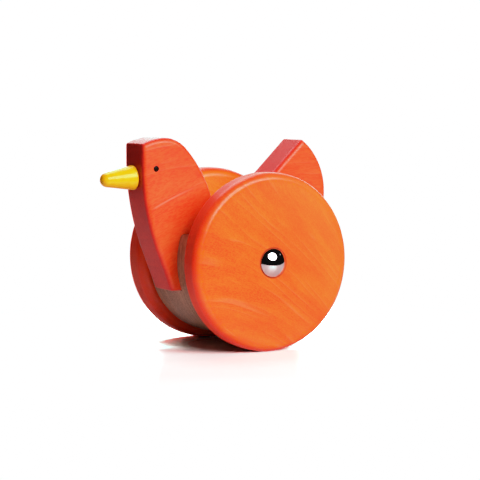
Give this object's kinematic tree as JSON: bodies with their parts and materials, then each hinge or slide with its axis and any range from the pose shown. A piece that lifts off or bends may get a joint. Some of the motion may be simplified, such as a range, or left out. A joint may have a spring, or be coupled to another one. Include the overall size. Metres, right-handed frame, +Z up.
{
  "type": "wobbling hen toy",
  "caption": "Wooden hen with a turned beak and a weighted round belly, free to rock on the axle between two thick wooden wheels.",
  "frame": {"origin": "on the floor, midway along the toy from beak tip to tail, between the wheels", "axes": "+Z up, the beak faces -Y, +X is the hen's left, along the axle"},
  "size_m": [0.0782, 0.1264, 0.1073],
  "materials": {
    "red_wood": "satin",
    "orange_wood": "satin",
    "natural_wood": "satin",
    "dowel_wood": "matte",
    "yellow_wood": "gloss",
    "black_wood": "satin",
    "chrome": "polished",
    "steel": "satin",
    "ballast_steel": "satin",
    "brass": "satin"
  },
  "bodies": {
    "axle": {"axle": "steel", "left_washer": "steel", "right_washer": "steel", "left_retainer": "steel", "right_retainer": "steel", "left_cap": "chrome", "right_cap": "chrome"},
    "hen": {"hen_board": "red_wood", "belly_keel": "natural_wood", "left_cheek": "natural_wood", "right_cheek": "natural_wood", "front_ballast": "ballast_steel", "rear_ballast": "ballast_steel", "front_dowel": "dowel_wood", "rear_dowel": "dowel_wood", "axle_sleeve": "brass", "beak": "yellow_wood", "left_eye": "black_wood", "right_eye": "black_wood"},
    "left_wheel": {"left_wheel": "orange_wood"},
    "right_wheel": {"right_wheel": "orange_wood"}
  },
  "joints": [
    {"name": "wobble", "type": "hinge", "parent": "axle", "child": "hen", "pos_m": [0, 0.01459, 0.045], "axis": [1, 0, 0], "range_deg": [-80, 57]},
    {"name": "left_wheel_spin", "type": "hinge", "parent": "axle", "child": "left_wheel", "pos_m": [0.029, 0.01459, 0.045], "axis": [1, 0, 0], "continuous": true},
    {"name": "right_wheel_spin", "type": "hinge", "parent": "axle", "child": "right_wheel", "pos_m": [-0.029, 0.01459, 0.045], "axis": [1, 0, 0], "continuous": true}
  ]
}
